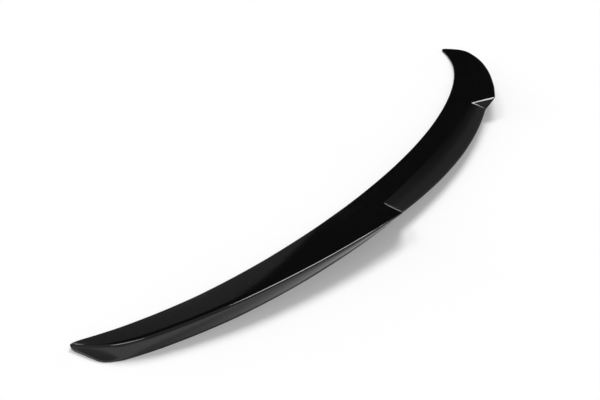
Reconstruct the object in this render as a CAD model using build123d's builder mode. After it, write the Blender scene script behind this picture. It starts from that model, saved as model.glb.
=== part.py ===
"""Boot lid lip spoiler: a one-piece gloss moulding, open underneath, with two raised wings and a low middle.

Millimetres. X runs across the car, +Y points to the front of the car and +Z is up. The origin is the middle
of the flat rear bonding land, on the centre line.
"""
import os
from math import cos, pi, radians, sin, tan

from build123d import *

# Leading edge seen from above: a broad bow that sweeps further forward at the tips
half_width = 607.4
sweep_bow = 117.9
sweep_tip = 38.7
tip_power = 7

# Leading edge seen from the front: its thickness, and its rise above the rear land
edge_thickness = 2.5
lead_rise_centre = 10.0
lead_rise_end = 0.6

# Foot, where the rear face meets the boot lid, measured back from the leading edge
foot_chord_centre = 69.0
foot_chord_end = 55.0

# Crest of the raised wings, measured from the foot
crest_height = 41.0
crest_drop = 26.2
drop_power = 3.46
crest_overhang = 36.6
overhang_loss = 44.2
overhang_power = 1.8
crest_radius = 1.0
crest_softening = 2.0

# At each end the crest turns in and down to the tip
turn_power = 48
turn_drop = 10.4
turn_in = 44.5

# Slight fullness of the top face between the leading edge and the crest
top_fullness = 2.0

# Recessed middle between the wings. Its floor starts at a crease set back from the leading edge
crease_setback = 42.5
crease_half = 212.8
crease_height = 27.6
floor_tilt = 9.8
step_splay = 9.9
step_draft = 54.1
step_root_radius = 5.0

# Moulding: wall, bonding lands, solid ends and ribs
wall = 3.0
front_land = 15.0
rear_land = 12.0
end_solid = 43.0
rib_thickness = 2.5
rib_pitch = 95.0
rib_count = 11
rib_clearance = 4.0

# Ends seen from above: how far the rear corner is drawn in, and the rounding of the two corners
end_slant = 6.2
tip_rounding = 20.0
foot_rounding = 8.0

# Sections along half of the span, and the spare depth of tools that cut right through
half_sections = 9
spare = 5.0

lead_y_centre = foot_chord_centre - rear_land / 2


def lead(x):
    """Leading edge at x: y, and z of its lower corner."""
    u = abs(x) / half_width
    y = lead_y_centre + sweep_bow * u**2 + sweep_tip * u**tip_power
    return y, lead_rise_centre + (lead_rise_end - lead_rise_centre) * u**2


def lead_y(x):
    return lead(x)[0]


def foot_y(x):
    u = abs(x) / half_width
    return lead_y(x) - foot_chord_end - (foot_chord_centre - foot_chord_end) * (1 - u**2) ** 2


def crest(x):
    """Crest line at x: y and z."""
    u = abs(x) / half_width
    turn = u**turn_power
    overhang = crest_overhang - overhang_loss * u**overhang_power - turn_in * turn
    return foot_y(x) - overhang, crest_height - crest_drop * u**drop_power - turn_drop * turn


def stations(reach):
    """Places of the sections out to reach on both sides, closer together towards the ends."""
    steps = range(-half_sections, half_sections + 1)
    return [reach * sin(pi / 2 * k / half_sections) for k in steps]


def corners(x):
    """Corners of the section at x, as points of its plane: lower nose, upper nose, crest and upper foot."""
    y, z = lead(x)
    return Vector(y, z), Vector(y, z + edge_thickness), Vector(*crest(x)), Vector(foot_y(x), edge_thickness)


def middle_raised(a, b, rise):
    """Middle of the line from a to b, lifted square to the line by rise."""
    across = (b - a).normalized().rotate(Axis.Z, 90)
    return (a + b) * 0.5 + across * (rise if across.Y > 0 else -rise)


def inset_line(a, b):
    """The line from a to b, moved to its left by one wall."""
    across = (b - a).normalized().rotate(Axis.Z, 90) * wall
    return a + across, b + across


def crossing(first, second):
    """Where two lines of the section plane cross."""
    (a, b), (c, d) = first, second
    p, q, r = b - a, d - c, c - a
    return a + p * (r.cross(q).Z / p.cross(q).Z)


def outer_section(x):
    """Outline of the moulding at x. Its foot reaches below the land, which is cut flat later."""
    nose_low, nose_high, top, foot_high = corners(x)
    foot_low = Vector(foot_y(x), -spare)
    u = abs(x) / half_width
    with BuildSketch(Plane.YZ.offset(x)) as section:
        with BuildLine():
            Line(nose_low, nose_high)
            ThreePointArc(nose_high, middle_raised(nose_high, top, top_fullness * (1 - u**2 / 2)), top)
            Polyline(top, foot_high, foot_low)
            Polyline(foot_low, foot_low + (rear_land, 0), nose_low - (front_land, 0), nose_low)
        make_face()
        softening = crest_softening * u**2 * (1 - u**turn_power)
        fillet(section.vertices().sort_by(Axis.Y)[-1], crest_radius + softening)
    return section.sketch


def cavity_section(x):
    """Hollow at x: under the top wall, in front of the rear wall, and open below between the lands."""
    nose_low, nose_high, top, foot_high = corners(x)
    ceiling = inset_line(nose_high, top)
    back = inset_line(top, foot_high)
    front_low = nose_low - (front_land, spare)
    front_high = crossing(ceiling, (front_low, front_low + (0, spare)))
    ridge = crossing(ceiling, back)
    flange_rear = crossing(back, (Vector(0, wall), Vector(1, wall)))
    flange_front = Vector(foot_y(x) + rear_land, wall)
    rear_low = flange_front - (0, wall + spare)
    with BuildSketch(Plane.YZ.offset(x)) as section:
        with BuildLine():
            Line(front_low, front_high)
            ThreePointArc(front_high, middle_raised(front_high, ridge, top_fullness / 2), ridge)
            Polyline(ridge, flange_rear, flange_front, rear_low, front_low)
        make_face()
    return section.sketch


def recess_tool(grow=0.0):
    """Block that clears the middle between the wings, or a copy that is larger by grow below and beside."""
    crease_y = lead_y_centre - crease_setback
    rear_y = foot_y(0) - crest_overhang - spare
    top_z = crest_height + spare
    slope, splay, lean = (tan(radians(angle)) for angle in (floor_tilt, step_splay, step_draft))
    with BuildPart() as tool:
        for y in (lead_y_centre, rear_y):
            floor_z = crease_height - grow + slope * (y - crease_y)
            root = crease_half + grow / cos(radians(step_draft)) + splay * (crease_y - y)
            floor_half, top_half = (root + lean * (z - crease_height) for z in (floor_z, top_z))
            with BuildSketch(Plane.XZ.offset(-y)):
                with BuildLine():
                    Polyline((-floor_half, floor_z), (floor_half, floor_z), (top_half, top_z))
                    Polyline((top_half, top_z), (-top_half, top_z), (-floor_half, floor_z))
                make_face()
        loft()
        floor_sides = tool.faces().sort_by(Axis.Z)[0].edges().sort_by(Axis.X)
        fillet([floor_sides[0], floor_sides[-1]], step_root_radius)
    return tool.part


def end_waste():
    """What lies beyond the end seen from above: the end line slants, and both its corners are rounded."""
    tip = Vector(half_width, lead_y(half_width))
    heel = Vector(half_width - end_slant, foot_y(half_width - end_slant))
    along = (heel - tip).normalized()
    on_lead = Vector(half_width - tip_rounding, lead_y(half_width - tip_rounding))
    on_foot = Vector(heel.X - foot_rounding, foot_y(heel.X - foot_rounding))
    after_tip, before_heel = tip + along * tip_rounding, heel - along * foot_rounding
    with BuildSketch(Plane.XY.offset(-spare)) as waste:
        with BuildLine():
            Polyline(on_lead, on_lead + (0, spare), tip + (spare, spare), heel + (2 * spare, -spare))
            Polyline(heel + (2 * spare, -spare), on_foot - (0, spare), on_foot)
            Bezier(on_foot, heel, before_heel)
            Line(before_heel, after_tip)
            Bezier(after_tip, tip, on_lead)
        make_face()
        mirror(about=Plane.YZ)
    return waste.sketch


recess = recess_tool()
recess_with_wall = recess_tool(wall)

with BuildPart() as cavity:
    for x in stations(half_width - end_solid):
        add(cavity_section(x))
    loft()
    add(recess_with_wall, mode=Mode.SUBTRACT)
    for k in range(rib_count):
        x = rib_pitch * (k - (rib_count - 1) / 2)
        y, z = lead(x)
        z += rib_clearance
        rear_y = foot_y(x) - crest_overhang
        with BuildSketch(Plane.YZ.offset(x)):
            with BuildLine():
                Polyline((rear_y, 0), (foot_y(x) + rear_land / 2, 0), (y - front_land, z), (y, z))
                Polyline((y, z), (y, crest_height), (rear_y, crest_height), (rear_y, 0))
            make_face()
        extrude(amount=rib_thickness / 2, both=True, mode=Mode.SUBTRACT)

with BuildPart() as spoiler:
    for x in stations(half_width):
        add(outer_section(x))
    loft()
    split(bisect_by=Plane.XY, keep=Keep.TOP)
    add(recess, mode=Mode.SUBTRACT)
    add(end_waste())
    extrude(amount=crest_height, mode=Mode.SUBTRACT)
    add(cavity.part, mode=Mode.SUBTRACT)

spoiler.part.label = "spoiler"
os.makedirs("parts", exist_ok=True)
export_step(spoiler.part, "parts/spoiler.step")
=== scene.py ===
"""Looks of a gloss black boot lid spoiler: one moulded shell, in metres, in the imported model's frame."""

from math import cos, pi, radians, sin, sqrt, tan

import bmesh
import bpy
from mathutils import Matrix, Vector


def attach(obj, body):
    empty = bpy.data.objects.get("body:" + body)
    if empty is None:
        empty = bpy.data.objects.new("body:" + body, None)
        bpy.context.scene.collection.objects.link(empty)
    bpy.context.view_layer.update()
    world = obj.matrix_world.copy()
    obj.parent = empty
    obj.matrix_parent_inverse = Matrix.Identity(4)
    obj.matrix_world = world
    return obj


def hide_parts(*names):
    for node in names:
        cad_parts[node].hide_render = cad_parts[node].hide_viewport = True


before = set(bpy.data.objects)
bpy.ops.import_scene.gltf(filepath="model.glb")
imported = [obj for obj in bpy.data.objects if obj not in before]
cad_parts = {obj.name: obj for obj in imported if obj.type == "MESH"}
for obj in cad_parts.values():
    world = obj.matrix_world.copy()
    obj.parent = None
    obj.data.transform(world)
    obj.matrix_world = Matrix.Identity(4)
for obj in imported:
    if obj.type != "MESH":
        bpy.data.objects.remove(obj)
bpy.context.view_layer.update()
scene = bpy.context.scene

# The shell's sizes are in millimetres
MM = 0.001
NEARLY_ZERO = 1e-6

# Leading edge seen from above and from the front
HALF_WIDTH = 607.4
SWEEP_BOW = 117.9
SWEEP_TIP = 38.7
TIP_POWER = 7
EDGE_THICKNESS = 2.5
LEAD_RISE_CENTRE = 10.0
LEAD_RISE_END = 0.6

# Foot of the rear face, measured back from the leading edge
FOOT_CHORD_CENTRE = 69.0
FOOT_CHORD_END = 55.0

# Crest of the raised wings, and its turn to the tip at each end
CREST_HEIGHT = 41.0
CREST_DROP = 26.2
DROP_POWER = 3.46
CREST_OVERHANG = 36.6
OVERHANG_LOSS = 44.2
OVERHANG_POWER = 1.8
TURN_POWER = 48
TURN_DROP = 10.4
TURN_IN = 44.5

# Rounding of the crest. It softens past the step, its shoulder lies on the top face, and its corner
# reaches out so that the rounded crest still comes to the real outline
CREST_ROUNDING = 7.0
CREST_SOFTENING = 7.0
SOFTENING_FROM, SOFTENING_TO = 240.0, 310.0
SHOULDER = 1.3
CREST_REACH = 0.28

# Fullness of the top face and of the rear face
TOP_FULLNESS = 2.0
BACK_CROWN = 0.7

# Recessed middle: its crease, its floor and its steps
CREASE_SETBACK = 42.5
CREASE_HALF = 212.8
CREASE_HEIGHT = 27.6
FLOOR_SLOPE = tan(radians(9.8))
FLOOR_CROWN = 0.6
EDGE_ROUNDING = 2.4
STEP_SPLAY = tan(radians(9.9))
STEP_LEAN = tan(radians(54.1))

# Moulding: wall, bonding lands, solid ends and ribs
WALL = 3.0
FRONT_LAND = 15.0
REAR_LAND = 12.0
END_SOLID = 43.0
RIB_THICKNESS = 2.5
RIB_PITCH = 95.0
RIB_COUNT = 11
RIB_CLEARANCE = 4.0

# Ends seen from above: their slant, and the rounding of the two corners
END_SLANT = 6.2
TIP_ROUNDING = 20.0
FOOT_ROUNDING = 8.0

LEAD_Y = FOOT_CHORD_CENTRE - REAR_LAND / 2
CREASE_Y = LEAD_Y - CREASE_SETBACK
CAVITY_HALF = HALF_WIDTH - END_SOLID

# Near the tip: least depth of the top face, least gap between the lands, and the shares of the foot at
# which they end where it is too short for both
TIP_FACE = 3.0
LANDS_APART = 1.0
SHORT_LANDS = 0.4, 0.6

# Rows of a section: on the top face before and behind the crease, on the rear face, on the front wall
# inside and on a rib. Towards the tips the rows behind the crease gather forwards
FRONT_ROWS = 4
REAR_ROWS = 0.16, 0.3, 0.42, 0.5
ROW_GATHER = 0.25
BACK_ROWS = 0.5, 0.68, 0.84
FRONT_WALL_ROW = 0.85
RIB_FOOT_ROW = 0.6

# Past the step the crease's row follows the floor for a while, and then keeps this share of the top face
CREASE_RUN_ON = 95.0
WING_CREASE_SHARE = 0.45

# The crease is looked for between these shares of the top face, by halving them
CREASE_SEARCH = 0.05, 0.95
SEARCH_ROUNDS = 30

# Distances from an edge to the rows that keep it crisp, held to a share of the way to the next row
NOSE_SOFT, CREASE_SOFT, HEEL_SOFT, LAND_SOFT = 0.9, 0.8, 0.6, 0.7
FURTHEST_SHARE = 0.7

# Places of rows in the lists of a section: four on the outside, and the ridge on the inside
NOSE_ROW, CREASE_ROW, EDGE_ROW, HEEL_ROW, RIDGE_ROW = 1, 9, 16, 21, 5

# Rows on the outside, rows of the hollow from land to land, and one more on the front land
OUTSIDE_ROWS, HOLLOW_ROWS = 26, 14
INSIDE_ROWS = HOLLOW_ROWS + 1

# Loops this close to the step lean with it fully, and further off they lean less and less over the fade.
# A leaning point's place and section depend on each other, so they are settled in a few rounds
STEP_CORE = 7.0
STEP_FADE_OUTSIDE, STEP_FADE_INSIDE = 66.0, 14.0
SETTLE_ROUNDS = 4

# Loops along the span: beside each face of a rib or solid end, between ribs as shares of the pitch, at
# distances from the step and from the end of the hollow, and round the tip as square roots of shares of
# its rounding. Loops between ribs keep clear of those at the step and at the end of the hollow
FACE_SOFT = 0.25
BAY_LOOPS = 0.2, 0.5, 0.8
STEP_LOOPS = -6.0, -2.5, -0.3, 0.3, 8.0, 16.0
CLEAR_BEFORE_STEP, CLEAR_PAST_STEP = 9.0, 19.0
HOLLOW_END_LOOP, CLEAR_BEFORE_END = 4.0, 8.0
SOLID_LOOPS = 4.0, 12.0, 19.0
TIP_LOOPS = 1.0, 0.85, 0.7, 0.55, 0.4, 0.27, 0.15, 0.06, 0.0

# Place of the inside's finish among the shell's two, and how often the mesh is smoothed
INSIDE_FINISH = 1
SMOOTH_LEVELS = 2


def flat(y, z):
    """Point or run in the plane of a section."""
    return Vector((y, z))


UPWARDS, FORWARDS = flat(0.0, 1.0), flat(1.0, 0.0)
FLOOR_START, FLOOR_RUN = flat(CREASE_Y, CREASE_HEIGHT), flat(-1.0, -FLOOR_SLOPE)


def mix(a, b, share):
    return a + (b - a) * share


def hump(share):
    """Arch that is 0 at both ends and 1 in the middle."""
    return 4 * share * (1 - share)


def eased(share):
    """Share held between 0 and 1, with a soft start and finish."""
    share = min(max(share, 0.0), 1.0)
    return share * share * (3 - 2 * share)


def toward(a, b, distance):
    """Point at that distance from a on the way to b, short of b where they are close."""
    run = b - a
    return a + run * min(distance / max(run.length, NEARLY_ZERO), FURTHEST_SHARE)


def outward(run):
    """Unit vector square to a run of the outline, away from the moulding."""
    return flat(run.y, -run.x).normalized()


def crossing(a, p, c, q):
    """Where the line through a along p meets the line through c along q."""
    return a + p * ((c - a).cross(q) / p.cross(q))


def lead(x):
    """Leading edge at x: y, and z of its lower corner."""
    u = abs(x) / HALF_WIDTH
    y = LEAD_Y + SWEEP_BOW * u**2 + SWEEP_TIP * u**TIP_POWER
    return y, LEAD_RISE_CENTRE + (LEAD_RISE_END - LEAD_RISE_CENTRE) * u**2


def lead_y(x):
    return lead(x)[0]


def foot_y(x):
    u = abs(x) / HALF_WIDTH
    return lead_y(x) - FOOT_CHORD_END - (FOOT_CHORD_CENTRE - FOOT_CHORD_END) * (1 - u**2) ** 2


def crest(x):
    """Crest line at x."""
    u = abs(x) / HALF_WIDTH
    turn = u**TURN_POWER
    overhang = CREST_OVERHANG - OVERHANG_LOSS * u**OVERHANG_POWER - TURN_IN * turn
    return flat(foot_y(x) - overhang, CREST_HEIGHT - CREST_DROP * u**DROP_POWER - TURN_DROP * turn)


def rounded_corner(edge_y, x, radius, inward):
    """y of an edge at x, where it may run into the rounded corner of the end."""
    left = HALF_WIDTH - abs(x)
    if left >= radius:
        return edge_y(x)
    s = 1 - sqrt(max(left, 0.0) / radius)
    start, corner = edge_y(HALF_WIDTH - radius), edge_y(HALF_WIDTH)
    return (1 - s) ** 2 * start + 2 * s * (1 - s) * corner + s * s * (corner + inward * radius)


class TopFace:
    """Top face of a section, from the upper nose to the crest, with a slight fullness between them."""

    def __init__(self, nose, top, fullness):
        self.nose, self.top, self.fullness = nose, top, fullness
        self.chord = top - nose
        self.lift = outward(self.chord)

    def at(self, share):
        return self.nose + self.chord * share + self.lift * (self.fullness * hump(share))


def top_and_back(x):
    """Top face, upper heel and run of the rear face at x. The rounded corners of the end cut them back."""
    u = abs(x) / HALF_WIDTH
    edge_y, edge_z = lead(x)
    nose_y = rounded_corner(lead_y, x, TIP_ROUNDING, -1)
    heel_y = rounded_corner(foot_y, x, FOOT_ROUNDING, 1)
    top, heel = crest(x), flat(foot_y(x), EDGE_THICKNESS)
    back_run = heel - top
    face = TopFace(flat(edge_y, edge_z + EDGE_THICKNESS), top, TOP_FULLNESS * (1 - u**2) ** 2)
    if heel_y > foot_y(x):
        heel = top + back_run * ((heel_y - top.x) / back_run.x)
    if nose_y < edge_y:
        if top.x < nose_y - TIP_FACE:
            nose = face.at((nose_y - edge_y) / face.chord.x)
        else:
            nose = top + back_run * ((nose_y - top.x) / back_run.x) if top.x > nose_y else face.at(1.0)
            nose.x = nose_y
            top = mix(nose, heel, TIP_FACE / (nose_y - heel_y))
        face = TopFace(nose, top, face.fullness * max(0.0, 1 - (edge_y - nose_y) / TIP_ROUNDING))
    return face, heel, back_run


def crease_share(face, x):
    """Share of the top face at which the crease lies, or its row where there is no recess."""
    if abs(x) >= CREASE_HALF + CREASE_RUN_ON:
        return WING_CREASE_SHARE
    low, high = CREASE_SEARCH
    for _ in range(SEARCH_ROUNDS):
        middle = (low + high) / 2
        p = face.at(middle)
        above = p.y > CREASE_HEIGHT + FLOOR_SLOPE * (p.x - CREASE_Y)
        low, high = (low, middle) if above else (middle, high)
    return (low + high) / 2


def recess_floor(face, back_run, crease):
    """Rows of the recess floor, its rear edge and that edge's rounding."""
    edge = crossing(FLOOR_START, FLOOR_RUN, face.top, back_run)
    crown = flat(FLOOR_SLOPE, 1.0) * FLOOR_CROWN
    return [mix(crease, edge, k) + crown * hump(k) for k in REAR_ROWS], edge, EDGE_ROUNDING


def wing_top(face, x, crease_at):
    """Rows of a wing's top face behind the crease's row, its crest and that crest's rounding."""
    u = abs(x) / HALF_WIDTH
    before_turn = 1 - u**TURN_POWER
    softening = eased((abs(x) - SOFTENING_FROM) / (SOFTENING_TO - SOFTENING_FROM))
    rounding = CREST_ROUNDING + CREST_SOFTENING * softening * before_turn
    edge = face.top + face.chord.normalized() * (CREST_REACH * rounding * before_turn)
    gather = 1 - ROW_GATHER * u**4
    return [face.at(mix(crease_at, 1.0, k * gather)) for k in REAR_ROWS], edge, rounding


def open_rows(face, back_run, floor_bend, land_end, front_low):
    """Inside where it is hollow: rear land, shelf, rear wall, ceiling, front wall and front land.

    Under the recess the ceiling follows the floor as far as floor_bend, which is None in the wings.
    """
    ceiling = face.nose - face.lift * WALL
    rear_wall = face.top - outward(back_run) * WALL
    front_wall = crossing(ceiling, face.chord, front_low, UPWARDS)
    if floor_bend is not None:
        bend = floor_bend
        ridge = crossing(FLOOR_START - UPWARDS * WALL, FLOOR_RUN, rear_wall, back_run)
    else:
        ridge = crossing(ceiling, face.chord, rear_wall, back_run)
        bend = mix(ridge, front_wall, 0.5)
    shelf_front = land_end + UPWARDS * WALL
    shelf_rear = crossing(rear_wall, back_run, UPWARDS * WALL, FORWARDS)
    rows = [land_end, shelf_front, toward(shelf_front, shelf_rear, LAND_SOFT)]
    rows += [shelf_rear, mix(shelf_rear, ridge, 0.5), ridge]
    rows += [mix(ridge, bend, k / 3) for k in (1, 2, 3)]
    rows += [mix(bend, front_wall, k / 3) for k in (1, 2)]
    return rows + [front_wall, mix(front_wall, front_low, FRONT_WALL_ROW), front_low]


def rib_rows(land_end, front_low):
    """Inside where a rib fills it: along the rib's lower edge from land to land."""
    shelf_front, rib_front = land_end + UPWARDS * WALL, front_low + UPWARDS * RIB_CLEARANCE
    rib_foot = mix(rib_front, front_low, RIB_FOOT_ROW)
    count = HOLLOW_ROWS - len((land_end, rib_foot, front_low))
    lower_edge = [mix(shelf_front, rib_front, k / (count - 1)) for k in range(count)]
    return [land_end, *lower_edge, rib_foot, front_low]


def solid_rows(land_end, front_low):
    """Inside where an end is solid: straight from land to land."""
    return [mix(land_end, front_low, k / (HOLLOW_ROWS - 1)) for k in range(HOLLOW_ROWS)]


def section(x, recessed, hollow):
    """Outline of the shell at x as points of the section plane: first the outside, then the inside."""
    face, heel_high, back_run = top_and_back(x)
    nose_low, heel_low = flat(face.nose.x, lead(x)[1]), flat(heel_high.x, 0.0)
    land_end, front_low = heel_low + FORWARDS * REAR_LAND, nose_low - FORWARDS * FRONT_LAND
    if land_end.x > front_low.x - LANDS_APART:
        land_end, front_low = (mix(heel_low, nose_low, share) for share in SHORT_LANDS)

    crease_at = crease_share(face, x)
    crease = face.at(crease_at)
    front = [face.at(crease_at * k / (FRONT_ROWS + 1)) for k in range(1, FRONT_ROWS + 1)]
    if recessed:
        rear, edge, rounding = recess_floor(face, back_run, crease)
    else:
        rear, edge, rounding = wing_top(face, x, crease_at)
    back = [mix(edge, heel_high, k) + outward(back_run) * (BACK_CROWN * hump(k)) for k in BACK_ROWS]
    outside = [toward(nose_low, front_low, NOSE_SOFT), nose_low]
    outside += [face.nose, toward(face.nose, front[0], NOSE_SOFT), *front]
    outside += [toward(crease, front[-1], CREASE_SOFT), crease, toward(crease, rear[0], CREASE_SOFT), *rear]
    outside += [toward(edge, rear[-1], rounding * SHOULDER), edge, toward(edge, back[0], rounding), *back]
    outside += [heel_high, toward(heel_low, heel_high, HEEL_SOFT), heel_low]
    outside += [toward(heel_low, land_end, LAND_SOFT), toward(land_end, heel_low, LAND_SOFT)]

    if hollow == "open":
        floor_bend = crease - face.lift * WALL if recessed else None
        inside = open_rows(face, back_run, floor_bend, land_end, front_low)
    elif hollow == "rib":
        inside = rib_rows(land_end, front_low)
    else:
        inside = solid_rows(land_end, front_low)
    return outside, inside + [toward(front_low, nose_low, LAND_SOFT)]


def step_x(p):
    """Where the wall of the step stands at a point of the section plane, on the +X side."""
    return CREASE_HALF + STEP_SPLAY * (CREASE_Y - p.x) + STEP_LEAN * (p.y - CREASE_HEIGHT)


def step_shift(outside, inside, row):
    """How far the step at full strength carries a row outwards from where its loop crosses the crease."""
    crease_x, edge = step_x(outside[CREASE_ROW]), outside[EDGE_ROW]
    if row < CREASE_ROW or HEEL_ROW <= row < OUTSIDE_ROWS:
        return 0.0
    if row <= EDGE_ROW:
        return step_x(outside[row]) - crease_x
    if row < HEEL_ROW:
        heel_z = outside[HEEL_ROW].y
        return (step_x(edge) - crease_x) * (outside[row].y - heel_z) / (edge.y - heel_z)
    inside_row = row - OUTSIDE_ROWS
    if inside_row < RIDGE_ROW - 1:
        return 0.0
    thick = WALL * sqrt(1 + STEP_LEAN**2)
    reach = max(0.0, step_x(inside[max(inside_row, RIDGE_ROW)]) + thick - crease_x)
    return reach if inside_row >= RIDGE_ROW else reach / 2


def place(x0, recessed, hollow):
    """Points of one loop round the shell. It leans with the step near it, and it slants at the end."""
    side, base = (1, x0) if x0 >= 0 else (-1, -x0)
    apart = max(0.0, abs(base - CREASE_HALF) - STEP_CORE)
    outer_weight = max(0.0, 1 - apart / STEP_FADE_OUTSIDE)
    inner_weight = max(0.0, 1 - apart / STEP_FADE_INSIDE)
    slant = max(0.0, 1 - (HALF_WIDTH - base) / TIP_ROUNDING) * END_SLANT
    loop = []
    for row in range(OUTSIDE_ROWS + INSIDE_ROWS):
        weight = outer_weight if row < OUTSIDE_ROWS else inner_weight
        x = base
        for _ in range(SETTLE_ROUNDS if weight else 1):
            outside, inside = section(x, recessed, hollow)
            x = base + (weight * step_shift(outside, inside, row) if weight else 0.0)
        p = (outside + inside)[row]
        share_back = (lead_y(x) - p.x) / FOOT_CHORD_END
        loop.append(Vector((side * (x - slant * share_back), p.x, p.y)) * MM)
    return loop


def half_stations():
    """Loops from the centre line to the +X end.

    Each gives where it crosses the crease, whether it is in the recess, and what its inside is.
    """
    half = RIB_THICKNESS / 2
    beside_rib = [-half - FACE_SOFT, half + FACE_SOFT, *(share * RIB_PITCH for share in BAY_LOOPS)]
    in_rib = [side * (half - k * FACE_SOFT) for side in (-1, 1) for k in (1, 2)]
    rows = []
    for k in range(RIB_COUNT // 2 + 1):
        rows += [(RIB_PITCH * k + d, "open") for d in beside_rib]
        rows += [(RIB_PITCH * k + d, "rib") for d in in_rib]
    rows = [row for row in rows if 0 < row[0] < CAVITY_HALF - CLEAR_BEFORE_END]
    rows = [row for row in rows if not -CLEAR_BEFORE_STEP < row[0] - CREASE_HALF < CLEAR_PAST_STEP]
    rows += [(CREASE_HALF + d, "open") for d in STEP_LOOPS]
    rows += [(CAVITY_HALF - d, "open") for d in (HOLLOW_END_LOOP, FACE_SOFT)]
    rows += [(CAVITY_HALF + d, "solid") for d in (FACE_SOFT, *SOLID_LOOPS)]
    rows += [(HALF_WIDTH - TIP_ROUNDING * d * d, "solid") for d in TIP_LOOPS]
    return [(x, x < CREASE_HALF, hollow) for x, hollow in sorted(rows)]


def close_end(bm, ring):
    """Close an end with a strip of faces between the rows over the top and the rows along the foot."""
    over, under = ring[NOSE_ROW + 1:HEEL_ROW + 2], ring[HEEL_ROW + 2:] + ring[:NOSE_ROW + 1]
    pairs = [*zip(over, over[1:]), *zip(under, under[1:])]
    bmesh.ops.bridge_loops(bm, edges=[bm.edges.get(pair) for pair in pairs])


def put_in_order(bm):
    """Give the edges and faces a fixed order, because pulling out a loop of edges makes them in none."""
    bm.verts.index_update()
    count = len(bm.verts)

    def rank(element):
        numbers = [v.index for v in element.verts]
        return max(numbers) * count + min(numbers)

    bm.edges.sort(key=rank)
    bm.faces.sort(key=rank)


def shell_mesh():
    """Shell pulled out of one loop of edges along the span, with its ends closed and the inside marked."""
    half = half_stations()
    loops = [place(-x, recessed, hollow) for x, recessed, hollow in reversed(half)]
    loops += [place(x, recessed, hollow) for x, recessed, hollow in half]
    bm = bmesh.new()
    ring = bmesh.ops.create_circle(bm, segments=len(loops[0]), radius=1.0)["verts"]
    for vert, point in zip(ring, loops[0]):
        vert.co = point
    first_ring, edges = ring, list(bm.edges)
    inner = []
    for points in loops[1:]:
        made = bmesh.ops.extrude_edge_only(bm, edges=edges)["geom"]
        new = {g for g in made if isinstance(g, bmesh.types.BMVert)}
        ring = [next(e.other_vert(v) for e in v.link_edges if e.other_vert(v) in new) for v in ring]
        for vert, point in zip(ring, points):
            vert.co = point
        inside = set(ring[OUTSIDE_ROWS:])
        inner += [f for v in inside for f in v.link_faces if sum(w in inside for w in f.verts) == 2]
        edges = [g for g in made if isinstance(g, bmesh.types.BMEdge) and all(v in new for v in g.verts)]
    for end in (first_ring, ring):
        close_end(bm, end)
    bmesh.ops.recalc_face_normals(bm, faces=bm.faces)
    for face in bm.faces:
        face.smooth = True
    for face in inner:
        face.material_index = INSIDE_FINISH
    put_in_order(bm)
    mesh = bpy.data.meshes.new("spoiler_shell")
    bm.to_mesh(mesh)
    bm.free()
    return mesh


def add_node(tree, kind, **sockets):
    """New node of that kind. Each socket, by name or as n and its number, gets a value or a link."""
    node = tree.nodes.new(kind)
    for name, value in sockets.items():
        socket = node.inputs[int(name[1:]) if name[1:].isdigit() else name.replace("_", " ")]
        if isinstance(value, bpy.types.NodeSocket):
            tree.links.new(value, socket)
        else:
            socket.default_value = value
    return node


def calc(tree, operation, *values):
    node = add_node(tree, "ShaderNodeMath", **{f"n{k}": value for k, value in enumerate(values)})
    node.operation = operation
    return node.outputs[0]


def ramp(tree, value, start, end, low=0.0, high=1.0):
    """Smooth change from low to high while the value goes from start to end."""
    limits = dict(From_Min=start, From_Max=end, To_Min=low, To_Max=high)
    node = add_node(tree, "ShaderNodeMapRange", Value=value, **limits)
    node.interpolation_type = "SMOOTHSTEP"
    return node.outputs[0]


def blend(tree, amount, first, second):
    return add_node(tree, "ShaderNodeMix", Factor=amount, A=first, B=second).outputs[0]


def noise(tree, place, scale, detail):
    return add_node(tree, "ShaderNodeTexNoise", Vector=place, Scale=scale, Detail=detail).outputs["Fac"]


def bumps(tree, height, strength, distance):
    return add_node(tree, "ShaderNodeBump", Strength=strength, Distance=distance, Height=height).outputs[0]


def tinted(tree, amount, dark, light):
    """Colour that goes from dark to light with the amount."""
    node = add_node(tree, "ShaderNodeMix", Factor=amount)
    node.data_type = "RGBA"
    dark_socket, light_socket = [i for i in node.inputs if i.type == "RGBA"]
    dark_socket.default_value, light_socket.default_value = (*dark, 1), (*light, 1)
    return next(o for o in node.outputs if o.type == "RGBA")


def new_finish(name):
    """New material: itself, its node tree, its shader and the coordinates of the piece."""
    finish = bpy.data.materials.new(name)
    finish.use_nodes = True
    tree = finish.node_tree
    place = tree.nodes.new("ShaderNodeTexCoord").outputs["Object"]
    return finish, tree, tree.nodes["Principled BSDF"], place


def gloss_black():
    """Lacquered outside: deep black, with the faint ripple of a sprayed coat and slight polishing marks."""
    finish, tree, shader, place = new_finish("gloss_black")
    cloud = noise(tree, place, scale=9.0, detail=3.0)
    colour = tinted(tree, cloud, dark=(0.0024, 0.0024, 0.0026), light=(0.0038, 0.0038, 0.0041))
    along_span = add_node(tree, "ShaderNodeMapping", Vector=place, Scale=(30, 240, 240)).outputs[0]
    polish = noise(tree, along_span, scale=1.0, detail=4.0)
    roughness = ramp(tree, polish, 0.3, 0.75, low=0.05, high=0.085)
    ripple = bumps(tree, noise(tree, place, scale=170.0, detail=1.0), strength=0.12, distance=0.00006)
    tree.links.new(colour, shader.inputs["Base Color"])
    tree.links.new(roughness, shader.inputs["Roughness"])
    tree.links.new(ripple, shader.inputs["Normal"])
    shader.inputs["IOR"].default_value = 1.52
    return finish


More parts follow.
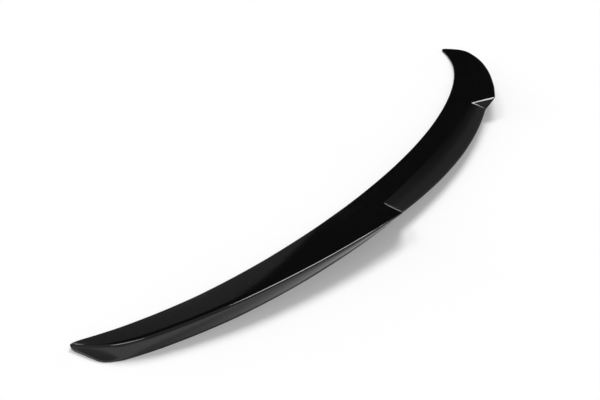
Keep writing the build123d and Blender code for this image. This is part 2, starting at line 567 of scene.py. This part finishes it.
def moulded_black():
    """Inside as it leaves the mould: satin black with a fine even grain."""
    finish, tree, shader, place = new_finish("moulded_black")
    cloud = noise(tree, place, scale=24.0, detail=4.0)
    colour = tinted(tree, cloud, dark=(0.009, 0.009, 0.0095), light=(0.016, 0.016, 0.017))
    roughness = ramp(tree, cloud, 0.25, 0.75, low=0.42, high=0.56)
    grain = bumps(tree, noise(tree, place, scale=1900.0, detail=2.0), strength=0.35, distance=0.0001)
    tree.links.new(colour, shader.inputs["Base Color"])
    tree.links.new(roughness, shader.inputs["Roughness"])
    tree.links.new(grain, shader.inputs["Normal"])
    return finish


shell = bpy.data.objects.new("spoiler_shell", shell_mesh())
scene.collection.objects.link(shell)
smooth = shell.modifiers.new("smooth", "SUBSURF")
smooth.levels = smooth.render_levels = SMOOTH_LEVELS
for finish in (gloss_black(), moulded_black()):
    shell.data.materials.append(finish)
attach(shell, "root")
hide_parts("spoiler")

# Floor: half its width in metres, and the glow that lifts what is seen of it to white
FLOOR_HALF = 60.0
FLOOR_LIFT = 0.21


def pale_floor():
    """White studio floor. What is seen of it, also in reflections, is lifted to white; the shadow stays."""
    finish, tree, shader, place = new_finish("pale_floor")
    cloud = noise(tree, place, scale=3.0, detail=2.0)
    colour = tinted(tree, cloud, dark=(0.8, 0.8, 0.8), light=(0.82, 0.82, 0.82))
    tree.links.new(colour, shader.inputs["Base Color"])
    shader.inputs["Roughness"].default_value = 0.9
    shader.inputs["Specular IOR Level"].default_value = 0.0
    path = tree.nodes.new("ShaderNodeLightPath").outputs
    seen = calc(tree, "MAXIMUM", path["Is Camera Ray"], path["Is Glossy Ray"])
    seen = calc(tree, "MAXIMUM", seen, path["Is Transmission Ray"])
    lift = add_node(tree, "ShaderNodeEmission", Strength=calc(tree, "MULTIPLY", seen, FLOOR_LIFT))
    both = add_node(tree, "ShaderNodeAddShader", n0=shader.outputs[0], n1=lift.outputs[0])
    tree.links.new(both.outputs[0], tree.nodes["Material Output"].inputs["Surface"])
    return finish


def floor_mesh():
    bm = bmesh.new()
    bmesh.ops.create_grid(bm, x_segments=1, y_segments=1, size=FLOOR_HALF)
    mesh = bpy.data.meshes.new("floor")
    bm.to_mesh(mesh)
    bm.free()
    return mesh


floor = bpy.data.objects.new("floor", floor_mesh())
scene.collection.objects.link(floor)
floor.data.materials.append(pale_floor())

# Camera at the photo's viewing angle: how far it turns from +X and down, in radians, where it stands, in
# metres from the middle of the leading edge, its lens and sensor, in millimetres, and where its view starts
ACROSS, DOWN = 0.53541, 0.55542
CAMERA_STAND = Vector((-0.8404, -0.27431, 0.43048))
CAMERA_LENS, CAMERA_SENSOR, VIEW_START = 33.6, 36.0, 0.01


def photo_camera():
    forward = Vector((cos(ACROSS) * cos(DOWN), sin(ACROSS) * cos(DOWN), -sin(DOWN)))
    right = Vector((sin(ACROSS), -cos(ACROSS), 0))
    turn = Matrix((right, right.cross(forward), -forward)).transposed().to_4x4()
    lead_middle = Vector((0, LEAD_Y, LEAD_RISE_CENTRE + EDGE_THICKNESS)) * MM
    camera = bpy.data.objects.new("camera", bpy.data.cameras.new("camera"))
    camera.matrix_world = Matrix.Translation(lead_middle + CAMERA_STAND) @ turn
    camera.data.sensor_width = CAMERA_SENSOR
    camera.data.lens = CAMERA_LENS
    camera.data.clip_start = VIEW_START
    scene.collection.objects.link(camera)
    return camera


scene.camera = photo_camera()

# Brightness of the studio: pale walls that are white at the horizon, a ceiling, a sky behind the part that
# fades to the zenith, and to the front right a dark and a dim wall, which the black top faces reflect
CEILING, WALLS, HORIZON, DIM_WALL, DARK_WALL = 0.36, 0.42, 1.0, 0.09, 0.005
REAR_SKY, ZENITH = 0.46, 0.12

# Where one wall gives way to the next: bearings in degrees from +X towards the front. The edge between the
# dark and the dim wall leans, by radians of bearing over the height of a unit ray
DARK_TO_DIM, EDGE_LEAN = (17, 21), 4.0
DIM_TO_PALE, DARK_TO_PALE = (62, 78), (10, -14)

# A low pale skirting runs in front of both, apart from a gap between these bearings
GAP_RIGHT, GAP_LEFT = (40, 36), (60, 64)

# Heights of a unit ray, and how far it points to the front, between which the studio changes
SKIRTING_TOP = 0.095, 0.085
HORIZON_TO_WALLS = 0.09, 0.45
WALLS_TO_CEILING = 0.42, 0.85
REAR_SKY_FROM, REAR_SKY_TO_ZENITH = (0.35, 0.6), (0.6, 0.97)
BEHIND = 0.0, -0.4


def studio():
    """World seen by light and reflections, worked out from the direction of a ray."""
    world = bpy.data.worlds.new("studio")
    world.use_nodes = True
    tree = world.node_tree
    ray = tree.nodes.new("ShaderNodeTexCoord").outputs["Generated"]
    across, ahead, height = add_node(tree, "ShaderNodeSeparateXYZ", Vector=ray).outputs
    bearing = calc(tree, "ARCTAN2", ahead, across)

    def turning(angle, change, low=0.0, high=1.0):
        start, end = change
        return ramp(tree, angle, radians(start), radians(end), low, high)

    def either(first, second):
        return calc(tree, "MAXIMUM", turning(bearing, first), turning(bearing, second))

    leaning = calc(tree, "SUBTRACT", bearing, calc(tree, "MULTIPLY", height, EDGE_LEAN))
    front = calc(tree, "ADD", turning(leaning, DARK_TO_DIM, 0.0, DIM_WALL - DARK_WALL), DARK_WALL)
    skirting = calc(tree, "MULTIPLY", ramp(tree, height, *SKIRTING_TOP), either(GAP_RIGHT, GAP_LEFT))
    pale = calc(tree, "MAXIMUM", either(DIM_TO_PALE, DARK_TO_PALE), skirting)
    walls = blend(tree, pale, front, ramp(tree, height, *HORIZON_TO_WALLS, HORIZON, WALLS))
    room = blend(tree, ramp(tree, height, *WALLS_TO_CEILING), walls, CEILING)
    behind = calc(tree, "MULTIPLY", ramp(tree, ahead, *BEHIND), ramp(tree, height, *REAR_SKY_FROM))
    rear_sky = ramp(tree, height, *REAR_SKY_TO_ZENITH, REAR_SKY, ZENITH)
    tree.links.new(blend(tree, behind, room, rear_sky), tree.nodes["Background"].inputs["Color"])
    return world


scene.world = studio()

LAMP_DISTANCE = 4.0


def soft_light(name, bearing, height, spread, glow):
    """Broad far light that faces the part from a bearing and a height, all in degrees."""
    data = bpy.data.lights.new(name, "SUN")
    data.angle = radians(spread)
    data.energy = glow * 2 * pi * (1 - cos(radians(spread / 2)))
    lamp = bpy.data.objects.new(name, data)
    a, h = radians(bearing), radians(height)
    out = Vector((cos(a) * cos(h), sin(a) * cos(h), sin(h)))
    facing = out.to_track_quat("Z", "Y").to_matrix().to_4x4()
    lamp.matrix_world = Matrix.Translation(out * LAMP_DISTANCE) @ facing
    scene.collection.objects.link(lamp)


soft_light("right_light", bearing=20, height=56, spread=26, glow=11.0)
soft_light("left_light", bearing=98, height=60, spread=18, glow=6.5)

scene.view_settings.view_transform = "Standard"
